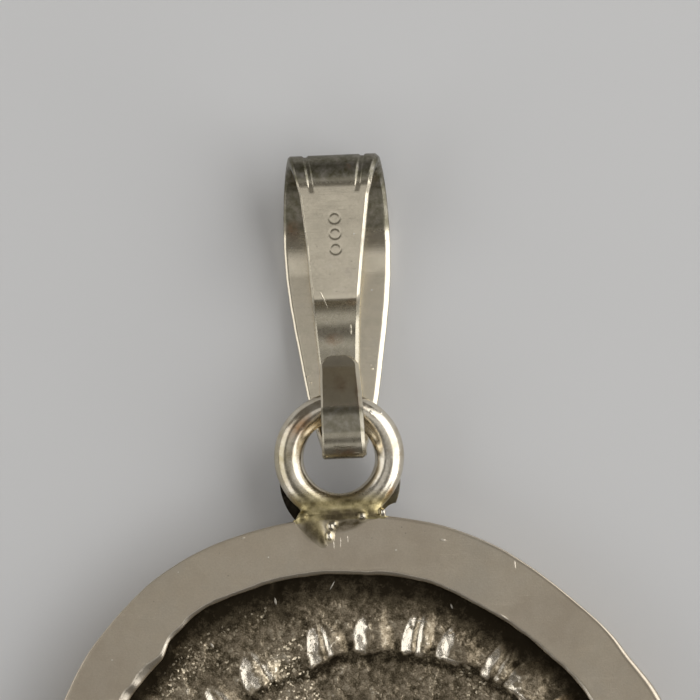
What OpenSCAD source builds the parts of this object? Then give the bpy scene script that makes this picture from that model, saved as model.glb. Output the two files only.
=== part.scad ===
// Coin pendant, lying on its front: a flat ring frame with a coin set in it,
// a wire ring soldered to the frame's top edge, and a folded strip bail on the ring.
// Seen from +Z the back shows. +Y runs towards the bail, and z = 0 is the surface below.

/* [Frame] */
// Outer diameter of the frame's flat back plate
frame_d = 25.46; // [23:0.1:29]
// Thickness of the flat back plate
plate_t = 0.9; // [0.7:0.05:1.5]
// Width of the flat ring that shows round the coin
rim_w = 2.23; // [2.1:0.05:3.5]
// How far the back plate covers the coin's edge
plate_grip = 0.85; // [0.6:0.05:1]
// Thickness of the wall round the coin's edge
wall_t = 0.65; // [0.4:0.05:0.7]
// Thickness of the front lip that holds the coin in
lip_t = 0.3; // [0.25:0.05:0.6]
// How far the front lip covers the coin's edge
lip_grip = 0.5; // [0.3:0.05:0.9]

/* [Coin] */
// Thickness of the coin over its relief
coin_t = 1.4; // [1.2:0.05:2.4]
// Height of the relief on each face
relief_h = 0.26; // [0.15:0.01:0.35]
// Radius of the row of beads
bead_row_r = 9.15; // [8.4:0.05:9.3]
// Diameter of one bead
bead_d = 1.6; // [1.2:0.05:1.7]
// Number of beads in a row
bead_n = 32; // [26:1:32]
// How far the back's stamp sits off centre across the coin
stamp_x = 1.2; // [-1.3:0.1:1.3]
// How far the back's stamp sits off centre along the coin
stamp_y = -1.05; // [-1.3:0.05:1.3]
// Diameter over the points of the star on the back
star_d = 11; // [8:0.5:12]
// Diameter over the petals of the rosette on the front
rosette_d = 10.5; // [8:0.5:13]

/* [Wire ring] */
// Outer diameter of the wire ring
ring_d = 5; // [4.6:0.1:6.5]
// Diameter of the ring's wire
wire_d = 1.12; // [0.9:0.02:1.3]
// How far the ring is let into the plate's edge
ring_sink = 0.28; // [0.2:0.02:0.5]
// How far the ring stands above the back plate
ring_rise = 0.05; // [0.02:0.01:0.15]
// Outer diameter of the crescent plate under the ring
crescent_d = 4.66; // [4:0.05:4.9]
// Thickness of the crescent plate
crescent_t = 0.6; // [0.4:0.05:0.8]
// How far the crescent reaches below the ring
crescent_drop = 0.7; // [0.5:0.05:1]

/* [Bail] */
// Length of the folded bail
bail_l = 11.66; // [11.2:0.02:15]
// Greatest width of the bail's front
bail_w = 4.12; // [3.6:0.02:5]
// Thickness of the bail's strip
strip_t = 0.45; // [0.35:0.01:0.5]
// Outer radius of the bend at the bail's top
top_bend_r = 0.95; // [0.8:0.05:1.2]
// Outer radius of the front's shoulder below the top
shoulder_r = 2.2; // [1.8:0.1:2.6]
// Outer radius of the front's long curve
front_r = 5.5; // [4.8:0.1:6.5]
// Room in the lower loop beyond the wire, square to the front
loop_room = 0.85; // [0.7:0.01:1.1]
// Outer radius of the bend at the loop's lower end
loop_bend_r = 0.82; // [0.72:0.01:1]
// Length of the flat run over the wire
loop_flat_l = 0.75; // [0.6:0.01:1]
// Length of the tail that lies hidden under the tongue
tail_lap = 0.75; // [0.4:0.05:0.9]
// Distance from the bail's lower end to the middle of the wire
wire_up = 2.1; // [2:0.02:2.3]
// Sideways place of the bail on the ring
bail_x = 0.26; // [-0.3:0.02:0.3]

/* [Hidden] */

// Clearance between pieces that touch on the real object
fit_gap = 0.05;
// Overlap of shapes that are joined into one solid
weld = 0.1;
// How far a cutter stands out past what it cuts
cut_over = 1;

// Frame and coin, worked out from the sizes above
frame_r = frame_d / 2;
opening_r = frame_r - rim_w;
coin_r = opening_r + plate_grip;
pocket_r = coin_r + fit_gap;
wall_r = pocket_r + wall_t;
coin_z = lip_t + fit_gap;
coin_top = coin_z + coin_t;
plate_z = coin_top + fit_gap;
plate_top = plate_z + plate_t;
flan_z = coin_z + relief_h;
flan_top = coin_top - relief_h;
coin_rim_show = 0.35;
coin_rim_w = lip_grip + coin_rim_show;
// The rows of beads start this share of a bead's pitch past the X axis
bead_start = 0.09;
// Heights of the designs as shares of the relief
star_rise_share = 0.8;
petal_rise_share = 0.8;
rosette_rise_share = 0.9;
// Widths in the designs as shares of the whole
star_boss_share = 0.2;
petal_share = 0.2;
rosette_boss_share = 1 / 3;

// The frame is cut and filed by hand: [angle, share of the radius] round each outline
plate_outline = [
    [0, 1.012], [22, 1.027], [34, 1.006], [48, 0.9935], [69, 1.0025], [97, 0.996],
    [122, 1.0075], [140, 0.996], [152, 0.984], [180, 0.988], [225, 1.0], [270, 1.0],
    [315, 0.996], [360, 1.012]
];
opening_outline = [
    [0, 1.0], [31, 1.012], [45, 0.993], [60, 0.986], [72, 1.0], [85, 0.994],
    [98, 1.003], [108, 1.012], [121, 1.028], [129, 1.012], [134, 0.982], [145, 0.985],
    [180, 0.992], [225, 1.0], [270, 0.994], [315, 1.004], [360, 1.0]
];
outline_steps = 120;

// Wire ring
wire_r = wire_d / 2;
ring_mid_r = ring_d / 2 - wire_r;
ring_y = frame_r - ring_sink + ring_d / 2;
ring_z = plate_top + ring_rise - wire_r;
wire_y = ring_y + ring_mid_r;
crescent_y = ring_y - ring_d / 2 + crescent_d / 2 - crescent_drop;
crescent_z = ring_z - wire_r + weld - crescent_t;

// The crescent's right horn stops short of the plate's edge
horn_gap_at = [0.46 * crescent_d, crescent_y - 0.33 * crescent_d];
horn_gap_r = 0.12 * crescent_d;

// How far the solder lumps' middles lie below the plate's top
solder_sink = 0.28;
// Lumps of solder at the joint: [across, along from the plate's edge, radius], as shares of the wire
solder_lumps = [
    [-1.25, -0.1, 0.4], [-0.75, -0.35, 0.5], [-0.25, -0.6, 0.38], [0.2, 0.05, 0.5],
    [0.75, 0.1, 0.38], [1.3, 0.0, 0.3]
];

// The strip's profile in the plane (along, deep): its front lies at deep = 0 and its lower end at 0.
// The back leaves the top bend at slope_back, knees down to slope_knee and runs out on the front.
slope_back = 26;
slope_knee = 48;
shoulder_a = 50;
knee_r = 0.8;
tail_r = 2.35;
tongue_a = 35;
tongue_bend_r = 1;
tongue_tip_a = 4;
loop_flat_a = 4.65;
loop_low_r = wire_d + loop_room + 2 * strip_t - loop_bend_r;
loop_corner_r = strip_t + weld;

function normal_at(a) = [-sin(a), cos(a)];
function outward(a) = [sin(a), cos(a)];

deep_top = top_bend_r + shoulder_r * sin(shoulder_a) + front_r * (1 - sin(shoulder_a));
top_mid = [bail_l - top_bend_r, deep_top - top_bend_r];
shoulder_mid = [bail_l - shoulder_r, deep_top - top_bend_r];
front_mid = shoulder_mid + (shoulder_r - front_r) * [cos(shoulder_a), -sin(shoulder_a)];
back_start = top_mid + top_bend_r * normal_at(slope_back);
tail_deep = 2 * strip_t + fit_gap;
back_drop = back_start[1] - tail_deep - knee_r * (cos(slope_back) - cos(slope_knee))
    - tail_r * (1 - cos(slope_knee));
back_l = back_drop / sin(slope_back);
back_end = back_start - back_l * [cos(slope_back), sin(slope_back)];
knee_mid = back_end - knee_r * normal_at(slope_back);
tail_mid = knee_mid + (knee_r + tail_r) * normal_at(slope_knee);
loop_low_mid = [loop_low_r, loop_low_r];
loop_bend_mid = [loop_bend_r, loop_low_r];
loop_corner_mid = loop_bend_mid + (loop_bend_r - loop_corner_r) * normal_at(loop_flat_a)
    + loop_flat_l * [cos(loop_flat_a), sin(loop_flat_a)];
tongue_start = loop_corner_mid + loop_corner_r * outward(tongue_a);
tip_deep = tail_deep + fit_gap + strip_t;
tongue_l = (tongue_start[1] - tip_deep - tongue_bend_r * (cos(tongue_tip_a) - cos(tongue_a)))
    / sin(tongue_a);
tongue_end = tongue_start + tongue_l * [cos(tongue_a), -sin(tongue_a)];
tip_mid = tongue_end + tongue_bend_r * outward(tongue_a);

function arc_points(mid, r, a0, a1, n, first = 0) =
    [for (i = [first:n])
        let (a = a0 + (a1 - a0) * i / n)
        mid + r * [cos(a), sin(a)]];
function line_points(a, b, n) = [for (i = [1:n - 1]) a + (b - a) * i / n];
function end_of(points) = points[len(points) - 1];

// Middle line of the strip, from the tail over the top, down the front and up the tongue
half_t = strip_t / 2;
tail_line = arc_points(tail_mid, tail_r + half_t, -90, -90 + slope_knee, 6);
knee_line = arc_points(knee_mid, knee_r - half_t, 90 + slope_knee, 90 + slope_back, 3, 1);
top_line = arc_points(top_mid, top_bend_r - half_t, 90 + slope_back, 0, 10);
shoulder_line = arc_points(shoulder_mid, shoulder_r - half_t, 0, -shoulder_a, 6, 1);
front_line = arc_points(front_mid, front_r - half_t, -shoulder_a, -90, 7, 1);
low_line = arc_points(loop_low_mid, loop_low_r - half_t, -90, -180, 8);
bend_line = arc_points(loop_bend_mid, loop_bend_r - half_t, -180, -270 + loop_flat_a, 7, 1);
corner_line = arc_points(loop_corner_mid, loop_corner_r - half_t,
    -270 + loop_flat_a, -270 - tongue_a, 4);
tip_line = arc_points(tip_mid, tongue_bend_r + half_t, -90 - tongue_a, -90 - tongue_tip_a, 4);
strip_line = concat(
    [[tail_mid[0] - tail_lap, tail_deep - half_t]],
    tail_line,
    knee_line,
    line_points(end_of(knee_line), top_line[0], 5),
    top_line,
    shoulder_line,
    front_line,
    line_points(end_of(front_line), low_line[0], 8),
    low_line,
    bend_line,
    corner_line,
    line_points(end_of(corner_line), tip_line[0], 3),
    tip_line
);
last = len(strip_line) - 1;

// Distance along the strip at each point, and the direction square to the strip
function run_to(i) = i == 0 ? 0 : run_to(i - 1) + norm(strip_line[i] - strip_line[i - 1]);
strip_run = [for (i = [0:last]) run_to(i)];
strip_l = strip_run[last];
function square_to(i) =
    let (d = strip_line[min(i + 1, last)] - strip_line[max(i - 1, 0)])
    [-d[1], d[0]] / norm(d);

// Strip's outline: [share of its length, width as share of bail_w, sideways shift as share of bail_w]
strip_outline = [
    [0, 0.37, -0.025], [0.06, 0.41, -0.03], [0.11, 0.45, -0.03], [0.19, 0.54, -0.015],
    [0.265, 0.655, -0.005], [0.315, 0.83, 0], [0.36, 0.895, 0], [0.40, 0.95, 0],
    [0.44, 0.985, 0], [0.485, 1, 0], [0.53, 0.98, 0], [0.57, 0.93, 0], [0.61, 0.86, 0],
    [0.65, 0.775, 0], [0.70, 0.675, 0], [0.74, 0.565, 0], [0.78, 0.43, -0.01],
    [0.85, 0.405, -0.012], [0.985, 0.365, -0.024], [1, 0.27, -0.024]
];
outline_share = [for (row = strip_outline) [row[0], row[1]]];
outline_shift = [for (row = strip_outline) [row[0], row[2]]];

// Two engraved lines over the top and down the front: place as a share of the half width
groove_at = 0.63;
groove_w = 0.24;
groove_deep = 0.12;
groove_span = [[0, 0], [0.25, 0], [0.27, 1], [0.66, 1], [0.74, 0], [1, 0]];
edge_cut = 0.06;

// The bail leans until its front meets the surface while its tongue rests on the wire
tongue_square = outward(tongue_a);
wire_deep = (tongue_square * tongue_start - strip_t - wire_r - fit_gap
    - tongue_square[0] * wire_up) / tongue_square[1];
lean_arm = [front_r - wire_deep, front_mid[0] - wire_up];
bail_lean = acos((front_r - ring_z) / norm(lean_arm)) - atan2(lean_arm[1], lean_arm[0]);

// The whole lies with the middle of its length at the origin
bail_top_y = wire_y + (bail_l - wire_up) * cos(bail_lean)
    + (deep_top - top_bend_r - wire_deep) * sin(bail_lean);
centre_y = (bail_top_y - frame_r) / 2;

// Smooth share between the two rows of a table that lie round an angle
function row_before(table, a, i = 0) = table[i + 1][0] > a ? i : row_before(table, a, i + 1);
function smooth_share(table, a) =
    let (
        i = row_before(table, a),
        f = (a - table[i][0]) / (table[i + 1][0] - table[i][0])
    )
    table[i][1] + (table[i + 1][1] - table[i][1]) * (1 - cos(180 * f)) / 2;
function outline_points(table, r) =
    [for (i = [0:outline_steps - 1])
        let (a = 360 * i / outline_steps)
        r * smooth_share(table, a) * [cos(a), sin(a)]];

module back_plate() {
    translate([0, 0, plate_z])
        linear_extrude(plate_t)
            difference() {
                polygon(outline_points(plate_outline, frame_r));
                polygon(outline_points(opening_outline, opening_r));
            }
}

module coin_wall() {
    difference() {
        cylinder(h = plate_z + weld, r = wall_r, $fn = 128);
        translate([0, 0, -cut_over])
            cylinder(h = plate_z + 2 * cut_over, r = coin_r - lip_grip, $fn = 128);
    }
}

module wire_ring() {
    translate([0, ring_y, ring_z])
        rotate_extrude($fn = 64)
            translate([ring_mid_r, 0])
                circle(r = wire_r, $fn = 32);
}

module crescent() {
    translate([0, 0, crescent_z])
        linear_extrude(crescent_t)
            difference() {
                translate([0, crescent_y])
                    circle(d = crescent_d, $fn = 64);
                translate([0, ring_y])
                    circle(r = ring_mid_r - wire_r, $fn = 64);
                translate([-crescent_d, ring_y + ring_rise])
                    square([2 * crescent_d, crescent_d]);
                translate(horn_gap_at)
                    circle(r = horn_gap_r, $fn = 32);
            }
}

module solder() {
    for (lump = solder_lumps)
        translate([lump[0] * wire_d, frame_r + lump[1] * wire_d, plate_top - solder_sink])
            sphere(r = lump[2] * wire_d, $fn = 24);
}

module bezel_frame() {
    color([0.72, 0.69, 0.63])
        difference() {
            union() {
                back_plate();
                coin_wall();
                wire_ring();
                crescent();
                solder();
            }
            translate([0, 0, lip_t])
                cylinder(h = plate_z - lip_t, r = pocket_r, $fn = 128);
        }
}

// One domed bead standing on z = 0
module bead() {
    bead_r = bead_d / 2;
    dome_r = (bead_r * bead_r + relief_h * relief_h) / (2 * relief_h);
    rotate_extrude($fn = 32)
        intersection() {
            translate([0, relief_h - dome_r])
                circle(r = dome_r, $fn = 96);
            translate([0, -weld])
                square([bead_r, relief_h + weld]);
        }
}

module bead_row(x, y) {
    for (i = [0:bead_n - 1]) {
        a = 360 * (i + bead_start) / bead_n;
        at = [x + bead_row_r * cos(a), y + bead_row_r * sin(a)];
        if (norm(at) + bead_d / 2 < coin_r - fit_gap)
            translate(at)
                bead();
    }
}

// Eight-pointed star with a domed boss, on the back
module star() {
    rays = 8;
    boss_d = star_d * star_boss_share;
    translate([0, 0, -weld])
        linear_extrude(relief_h * star_rise_share + weld)
            polygon([for (i = [0:2 * rays - 1])
                let (r = i % 2 == 0 ? star_d / 2 : boss_d, a = 180 * i / rays)
                r * [cos(a), sin(a)]]);
    cylinder(h = relief_h, d = boss_d, $fn = 48);
}

// Plain rosette of eight petals round a boss, on the front
module rosette() {
    petals = 8;
    petal_d = rosette_d * petal_share;
    for (i = [0:petals - 1])
        rotate(360 * i / petals)
            translate([(rosette_d - petal_d) / 2, 0, -weld])
                cylinder(h = relief_h * petal_rise_share + weld, d = petal_d, $fn = 32);
    translate([0, 0, -weld])
        cylinder(h = relief_h * rosette_rise_share + weld, d = rosette_d * rosette_boss_share, $fn = 48);
}

module coin() {
    color([0.33, 0.31, 0.27]) {
        translate([0, 0, flan_z])
            cylinder(h = flan_top - flan_z, r = coin_r, $fn = 128);
        difference() {
            translate([0, 0, coin_z])
                cylinder(h = relief_h + weld, r = coin_r, $fn = 128);
            translate([0, 0, coin_z - cut_over])
                cylinder(h = relief_h + cut_over, r = coin_r - coin_rim_w, $fn = 128);
        }
        translate([0, 0, flan_top]) {
            bead_row(stamp_x, stamp_y);
            translate([stamp_x, stamp_y])
                star();
        }
        translate([0, 0, flan_z])
            mirror([0, 0, 1]) {
                bead_row(0, 0);
                rosette();
            }
    }
}

// Outline of the strip's cross-section at point i, as [across, square to the strip]
function strip_section(i) =
    let (
        share = strip_run[i] / strip_l,
        h = bail_w * lookup(share, outline_share) / 2,
        s = bail_w * lookup(share, outline_shift),
        g = h * groove_at,
        w = groove_w / 2,
        deep = half_t - groove_deep * lookup(share, groove_span),
        c = edge_cut
    )
    [
        [s - h, c - half_t], [s - h, half_t - c], [s - h + c, half_t],
        [s - g - w, half_t], [s - g, deep], [s - g + w, half_t],
        [s + g - w, half_t], [s + g, deep], [s + g + w, half_t],
        [s + h - c, half_t], [s + h, half_t - c], [s + h, c - half_t],
        [s + h - c, -half_t], [s - h + c, -half_t]
    ];

module strip() {
    n = len(strip_section(0));
    points = [for (i = [0:last]) for (p = strip_section(i))
        let (at = strip_line[i] + p[1] * square_to(i))
        [p[0], at[0], at[1]]];
    sides = [for (i = [0:last - 1]) for (k = [0:n - 1])
        let (a = i * n + k, b = i * n + (k + 1) % n)
        each [[a, b + n, b], [a, a + n, b + n]]];
    ends = [
        [for (k = [0:n - 1]) k],
        [for (k = [0:n - 1]) last * n + n - 1 - k]
    ];
    polyhedron(points = points, faces = concat(sides, ends), convexity = 10);
}

module bail() {
    color([0.76, 0.73, 0.67])
        translate([bail_x, wire_y, ring_z])
            rotate([-bail_lean, 0, 0])
                translate([0, -wire_up, -wire_deep])
                    strip();
}

module placed() {
    translate([0, -centre_y, 0])
        children();
}

placed() bezel_frame();
placed() coin();
placed() bail();
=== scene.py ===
# A coin pendant lies on its front on a pale floor, seen from straight above.
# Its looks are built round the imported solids: the frame's plate, the wire ring with its
# solder, the coin and the folded bail. Sizes are millimetres with the disc's middle as
# origin, until piece() turns a mesh into metres in the row frame.
import math
from functools import reduce

import bpy
import numpy as np
from mathutils import Matrix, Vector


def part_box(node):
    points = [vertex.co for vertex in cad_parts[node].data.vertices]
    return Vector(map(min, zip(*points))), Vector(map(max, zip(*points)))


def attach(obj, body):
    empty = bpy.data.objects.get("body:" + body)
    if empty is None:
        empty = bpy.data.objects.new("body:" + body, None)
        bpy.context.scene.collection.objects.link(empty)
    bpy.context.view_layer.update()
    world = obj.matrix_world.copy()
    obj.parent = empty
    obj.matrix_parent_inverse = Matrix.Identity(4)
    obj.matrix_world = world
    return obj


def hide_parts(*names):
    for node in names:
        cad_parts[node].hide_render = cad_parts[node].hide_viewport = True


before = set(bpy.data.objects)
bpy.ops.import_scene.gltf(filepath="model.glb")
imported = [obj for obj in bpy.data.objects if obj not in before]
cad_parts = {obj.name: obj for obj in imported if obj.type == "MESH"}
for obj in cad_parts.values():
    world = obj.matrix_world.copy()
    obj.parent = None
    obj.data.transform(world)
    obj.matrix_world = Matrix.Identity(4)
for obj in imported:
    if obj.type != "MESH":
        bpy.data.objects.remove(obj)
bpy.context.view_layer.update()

MM = 0.001
coin_low, coin_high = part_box("coin")
bail_low, bail_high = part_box("bail")

# Frame and coin, as the solids have them
DISC_Y = (coin_low.y + coin_high.y) / 2 / MM
COIN_R = (coin_high.x - coin_low.x) / 2 / MM
COIN_Z = coin_low.z / MM
COIN_TOP = coin_high.z / MM
FIT_GAP = 0.05
FRAME_R = 12.73
OPENING_R = 10.5
PLATE_T = 0.9
PLATE_Z = COIN_TOP + FIT_GAP
PLATE_TOP = PLATE_Z + PLATE_T
POCKET_R = COIN_R + FIT_GAP
WALL_T = 0.65
WALL_R = POCKET_R + WALL_T
LIP_T = COIN_Z - FIT_GAP
LIP_GRIP = 0.5
LIP_R = COIN_R - LIP_GRIP
RELIEF_H = 0.26
BEAD_ROW_R = 9.15
# Middle of the stamp, which isn't the coin's own middle
STAMP = (1.2, -1.05)

# Wire ring and crescent. The crescent has a round bite in its right horn
WIRE_R = 0.56
RING_OUTER_R = 2.5
RING_SINK = 0.28
RING_RISE = 0.05
RING_R = RING_OUTER_R - WIRE_R
RING_Y = FRAME_R - RING_SINK + RING_OUTER_R
RING_Z = PLATE_TOP + RING_RISE - WIRE_R
CRESCENT_R = 2.33
CRESCENT_DROP = 0.87
CRESCENT_Y = RING_Y - CRESCENT_DROP
CRESCENT_T = 0.6
CRESCENT_D = 2 * CRESCENT_R
BITE_X = 0.46 * CRESCENT_D
BITE_Y = CRESCENT_Y - 0.33 * CRESCENT_D
BITE_R = 0.12 * CRESCENT_D

# Hand-cut outlines: angle, share of the radius
PLATE_OUTLINE = [
    (0, 1.012), (22, 1.027), (34, 1.006), (48, 0.9935), (69, 1.0025), (97, 0.996),
    (122, 1.0075), (140, 0.996), (152, 0.984), (180, 0.988), (225, 1), (270, 1),
    (315, 0.996), (360, 1.012),
]
OPENING_OUTLINE = [
    (0, 1), (31, 1.012), (45, 0.993), (60, 0.986), (72, 1), (85, 0.994),
    (98, 1.003), (108, 1.012), (121, 1.028), (129, 1.012), (134, 0.982), (145, 0.985),
    (180, 0.992), (225, 1), (270, 0.994), (315, 1.004), (360, 1),
]
# Width of the filed edge round the opening: angle, millimetres
OPENING_EDGE = [
    (0, 0.12), (60, 0.12), (85, 0.17), (110, 0.15), (130, 0.16), (138, 0.34),
    (152, 0.3), (170, 0.16), (360, 0.12),
]
OPENING_TILT = 38
# Radius of the worn outer edge: angle, millimetres
OUTER_EDGE = [
    (0, 0.24), (22, 0.2), (32, 0.15), (42, 0.06), (68, 0.045), (120, 0.045), (150, 0.08),
    (180, 0.12), (360, 0.24),
]


# Small tools

def cosd(a):
    return math.cos(math.radians(a))


def sind(a):
    return math.sin(math.radians(a))


def tand(a):
    return math.tan(math.radians(a))


def smooth(t):
    return t * t * t * (t * (6 * t - 15) + 10)


def noise(x, y, cell, seed):
    """Smooth random value from -1 to 1 at each point of the plane."""
    size = 256
    table = np.random.default_rng(seed).uniform(-1, 1, (size, size))
    u, v = np.asarray(x) / cell, np.asarray(y) / cell
    i, j = np.floor(u).astype(int), np.floor(v).astype(int)
    f, g = smooth(u - i), smooth(v - j)
    low, high = [
        table[i % size, k % size] * (1 - f) + table[(i + 1) % size, k % size] * f
        for k in (j, j + 1)]
    return low * (1 - g) + high * g


def rough(x, y, cell, seed, octaves=4, gain=0.5):
    """Noise summed over finer and finer cells."""
    total, weight, norm = 0, 1, 0
    for k in range(octaves):
        total = total + weight * noise(x, y, cell / 2 ** k, seed + k)
        norm += weight
        weight *= gain
    return total / norm


def table_share(table, angle):
    """Smooth value between the two rows of a table round an angle, in degrees."""
    keys, values = np.array(table, float).T
    a = np.asarray(angle) % 360
    i = np.clip(np.searchsorted(keys, a, side="right") - 1, 0, len(keys) - 2)
    f = (a - keys[i]) / (keys[i + 1] - keys[i])
    return values[i] + (values[i + 1] - values[i]) * (1 - np.cos(math.pi * f)) / 2


def step(low, high, x):
    """0 below low, 1 above high, smooth between."""
    t = np.clip((x - low) / (high - low), 0, 1)
    return t * t * (3 - 2 * t)


def grid_faces(rows, columns, wrap_rows=False, wrap_columns=False):
    """Quads of a grid of points, row by row."""
    r = np.arange(rows if wrap_rows else rows - 1)
    c = np.arange(columns if wrap_columns else columns - 1)
    r, c = [a.ravel() for a in np.meshgrid(r, c, indexing="ij")]
    r1, c1 = (r + 1) % rows, (c + 1) % columns
    quads = np.stack([r * columns + c, r * columns + c1, r1 * columns + c1, r1 * columns + c], 1)
    return quads.tolist()


def new_object(name, data):
    made = bpy.data.objects.new(name, data)
    bpy.context.scene.collection.objects.link(made)
    return made


def new_mesh(name, points, faces):
    mesh = bpy.data.meshes.new(name)
    mesh.from_pydata(np.asarray(points, float).reshape(-1, 3).tolist(), [], faces)
    mesh.validate()
    return new_object(name, mesh)


def face_outward(made):
    """Turns all faces outward on a closed mesh."""
    bpy.context.view_layer.objects.active = made
    made.select_set(True)
    bpy.ops.object.mode_set(mode="EDIT")
    bpy.ops.mesh.select_all(action="SELECT")
    bpy.ops.mesh.normals_make_consistent(inside=False)
    bpy.ops.object.mode_set(mode="OBJECT")
    made.select_set(False)


def piece(name, points, faces, **tones):
    """Smooth closed piece in the row frame. Each tone is a number a vertex, for its material."""
    made = new_mesh(name, points, faces)
    face_outward(made)
    mesh = made.data
    for tone, values in tones.items():
        attribute = mesh.attributes.new(tone, "FLOAT", "POINT")
        attribute.data.foreach_set("value", np.asarray(values, np.float32).ravel())
    co = np.zeros(len(mesh.vertices) * 3)
    mesh.vertices.foreach_get("co", co)
    co[1::3] += DISC_Y
    mesh.vertices.foreach_set("co", co * MM)
    mesh.polygons.foreach_set("use_smooth", [True] * len(mesh.polygons))
    mesh.update()
    return made


# Plate, wall and lip of the frame, as one closed section turned round the disc

PLATE_SIDES = 720
# The hand-cut unevenness fades out this near to angle 0, where its noise wouldn't close
SEAM_A = 8
FOOT_ROUND, WALL_ROUND = 0.08, 0.12
CORNER = 0.03
# How far the sheet's face dips below its highest points
FACE_DIP = 0.006


def plate_edges(angle):
    """Radii of the outer edge and the opening, and how wide the one is bent and the other filed."""
    run = FRAME_R * np.radians(angle)
    level = 0 * run
    seam = step(0, SEAM_A, 180 - abs(angle - 180))
    outer = FRAME_R * table_share(PLATE_OUTLINE, angle) + 0.012 * seam * rough(run, level, 0.9, 11)
    opening = OPENING_R * table_share(OPENING_OUTLINE, angle)
    opening = opening + 0.03 * seam * rough(run, level + 5, 0.7, 12)
    filed = table_share(OPENING_EDGE, angle) * (1 + 0.15 * seam * noise(run, level, 0.5, 14))
    return outer, opening, table_share(OUTER_EDGE, angle), filed


def opening_section(opening, filed):
    """Up the wall of the opening and over its filed edge, as rows of radius, height and wear."""
    drop = filed * tand(OPENING_TILT)
    section = [(opening, PLATE_Z, 0), (opening, PLATE_Z + 0.05, 0)]
    for share in (0.35, 0.7, 0.95):
        section.append((opening, PLATE_Z + share * (PLATE_T - drop), 0.3 * share))
    for share in (0.05, 0.35, 0.65, 0.95):
        section.append((opening + filed * share, PLATE_TOP - drop * (1 - share), 0.6))
    return section


def face_section(inside, outside, bend, turn):
    """Over the sheet's slightly uneven face and round its worn outer edge."""
    section = []
    for share in (0.01, 0.04, 0.1, 0.2, 0.3, 0.4, 0.5, 0.6, 0.7, 0.8, 0.9, 0.96, 0.99):
        radius = inside + (outside - inside) * share
        x, y = radius * np.cos(turn), radius * np.sin(turn)
        section.append((radius, PLATE_TOP + FACE_DIP * rough(x, y, 2.2, 13, 2) - FACE_DIP, 0))
    for lean in (0, 15, 30, 45, 60, 75, 90):
        section.append((outside + bend * sind(lean), PLATE_TOP - bend * (1 - cosd(lean)), lean / 90))
    return section


def foot_section(radius, z, size, way, turns=(0, 30, 60, 90)):
    """Round a lower edge. way is 1 where the metal lies outside the radius, and -1 inside."""
    return [(radius + way * size * (1 - cosd(a)), z + size * (1 - sind(a)), 0) for a in turns]


def hidden_section(outer, opening):
    """Down the plate's edge, the wall and the lip, and back up inside to the opening."""
    return [
        (outer, PLATE_Z + 0.12, 0),
        *foot_section(outer, PLATE_Z, FOOT_ROUND, -1),
        (WALL_R + 0.04, PLATE_Z, 0), (WALL_R, PLATE_Z - 0.04, 0), (WALL_R, 0.9, 0),
        *foot_section(WALL_R, 0, WALL_ROUND, -1),
        (WALL_R - WALL_ROUND - 0.06, 0, 0), (LIP_R + FOOT_ROUND + 0.06, 0, 0),
        *foot_section(LIP_R, 0, FOOT_ROUND, 1, (90, 60, 30, 0)),
        (LIP_R, LIP_T - CORNER, 0), (LIP_R + CORNER, LIP_T, 0),
        (POCKET_R - CORNER, LIP_T, 0), (POCKET_R, LIP_T + CORNER, 0),
        (POCKET_R, PLATE_Z - CORNER, 0), (POCKET_R - CORNER, PLATE_Z, 0),
        (opening + 0.05, PLATE_Z, 0),
    ]


def make_plate():
    angle = np.arange(PLATE_SIDES) * 360 / PLATE_SIDES
    turn = np.radians(angle)
    outer, opening, bend, filed = plate_edges(angle)
    section = opening_section(opening, filed)
    section += face_section(opening + filed, outer - bend, bend, turn)
    section += hidden_section(outer, opening)
    rows, worn = [], []
    for radius, z, wear in section:
        rows.append(np.stack([radius * np.cos(turn), radius * np.sin(turn), z + 0 * turn], 1))
        worn.append(wear + 0 * turn)
    return piece("frame_plate", rows, grid_faces(len(rows), PLATE_SIDES, True, True), worn=worn)


# Wire ring, crescent and solder, melted into one

# Solder lumps: across, along, height above the plate, radius across, along and up, turn in degrees
SMEARS = [
    (-1.48, 12.66, -0.15, 0.24, 0.24, 0.24, 15),
    (-1.1, 12.5, -0.15, 0.48, 0.42, 0.18, -25),
    (-0.98, 12.15, -0.06, 0.24, 0.38, 0.085, 35),
    (-0.8, 11.88, -0.03, 0.09, 0.2, 0.05, 15),
    (-0.2, 12.72, -0.27, 0.9, 0.34, 0.2, -4),
    (0.6, 12.74, -0.27, 0.6, 0.32, 0.2, 4),
    (1.2, 12.76, -0.25, 0.35, 0.2, 0.2, 10),
]
SPECKS = [
    (-0.43, 12.31, 0, 0.1, 0.12, 0.13, 10),
    (-0.5, 11.94, 0, 0.085, 0.13, 0.11, -5),
    (-0.3, 12.4, 0, 0.07, 0.06, 0.08, 0),
    (0.79, 12.66, -0.03, 0.12, 0.11, 0.15, 20),
    (1.6, 12.8, -0.06, 0.12, 0.13, 0.18, 0),
]
# How far each lump's tone reaches past it
SMEAR_REACH, SPECK_REACH = 0.12, 0.04
# Cell of the net that is cast over ring and joint, and the box that it is cast in
NET_CELL = 0.036
NET_LOW = (-2.75, 11.2, RING_Z - 1.15)
NET_HIGH = (2.75, RING_Y + 2.65, PLATE_TOP + 0.35)
# How softly each joint flows over: wire into crescent, solder into the wire, all into the plate
BLEND_WIRE, BLEND_SOLDER, BLEND_PLATE = 0.1, 0.34, 0.17
BLEND_LUMPS = 0.08


def soft_min(a, b, k):
    """Lesser of two distances, with a round hollow of about k where they meet."""
    h = np.clip(0.5 + 0.5 * (b - a) / k, 0, 1)
    return b + (a - b) * h - k * h * (1 - h)


def wire_distance(x, y, z):
    turn = np.arctan2(y - RING_Y, x)
    wire = WIRE_R * (1 + 0.01 * np.sin(2 * turn + 1) + 0.012 * np.sin(5 * turn))
    return np.hypot(np.hypot(x, y - RING_Y) - RING_R, z - RING_Z) - wire


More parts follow.
